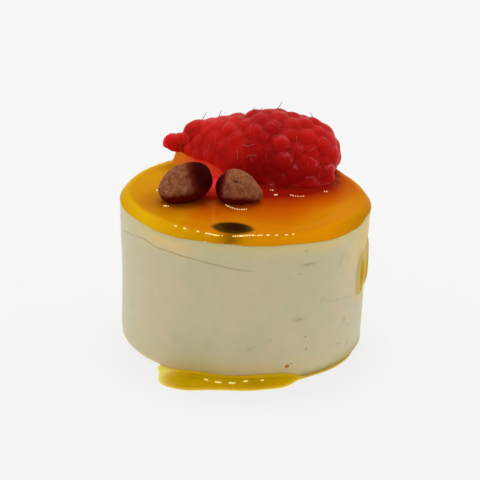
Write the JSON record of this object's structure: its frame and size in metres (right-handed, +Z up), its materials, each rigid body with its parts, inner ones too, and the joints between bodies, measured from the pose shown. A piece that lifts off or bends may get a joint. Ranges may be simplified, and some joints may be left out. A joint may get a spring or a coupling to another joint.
{
  "type": "passion fruit cheesecake",
  "caption": "Small round cheesecake: pale mousse cylinder with a glossy amber fruit glaze, topped with a raspberry half and cocoa nuggets, glaze puddled at the foot.",
  "frame": {"origin": "centre of the mousse cylinder's flat base, on the surface that the cake stands on", "axes": "+Z up along the cylinder's axis; -Y towards the front, where the cocoa nuggets and the puddle of glaze are; +X to the right seen from the front, towards the raspberry's stem end"},
  "size_m": [0.035, 0.0373, 0.0305],
  "materials": {
    "cheesecake": "satin",
    "fruit_glaze": "wet gloss",
    "raspberry": "satin, wet at the foot",
    "cocoa_nugget": "dusty matt",
    "puddle_glaze": "wet gloss"
  },
  "bodies": {
    "root": {"cheesecake_body": "cheesecake", "passion_fruit_glaze": "fruit_glaze", "raspberry_half": "raspberry", "cocoa_nugget_left": "cocoa_nugget", "cocoa_nugget_right": "cocoa_nugget", "glaze_puddle": "puddle_glaze"}
  },
  "joints": []
}
